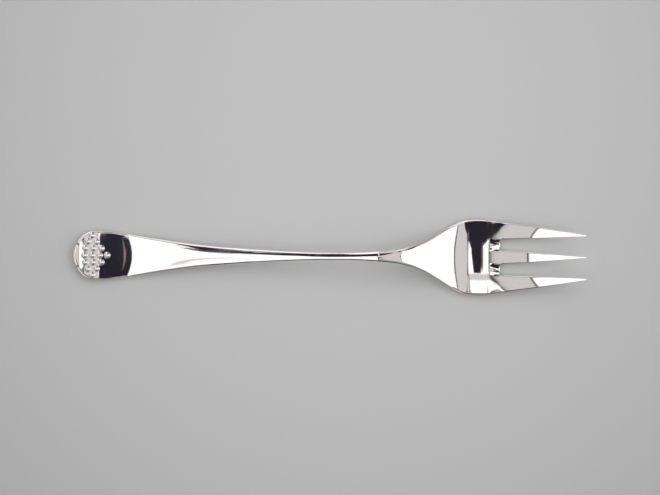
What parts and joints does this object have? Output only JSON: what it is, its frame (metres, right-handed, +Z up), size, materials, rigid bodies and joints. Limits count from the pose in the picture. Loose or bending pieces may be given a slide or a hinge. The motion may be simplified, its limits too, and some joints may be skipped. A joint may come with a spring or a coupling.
{
  "type": "pastry fork",
  "caption": "Slender pastry fork of polished metal with a rounded, beaded handle end, a thin stem, sloping shoulders and pointed tines that curve up.",
  "frame": {"origin": "middle of the footprint, on the table that the fork lies on", "axes": "+X along the fork from the handle's end to the tine tips, +Y to its left, +Z up out of the hollow side of the tines"},
  "size_m": [0.15, 0.022, 0.0097],
  "materials": {
    "polished_metal": "mirror-polished, with fine hairline wear"
  },
  "bodies": {
    "root": {"handle_end": "polished_metal", "handle_taper": "polished_metal", "stem": "polished_metal", "neck": "polished_metal", "shoulders": "polished_metal", "palm": "polished_metal", "left_tine": "polished_metal", "middle_tine": "polished_metal", "right_tine": "polished_metal", "bead_ornament": "polished_metal"}
  },
  "joints": []
}
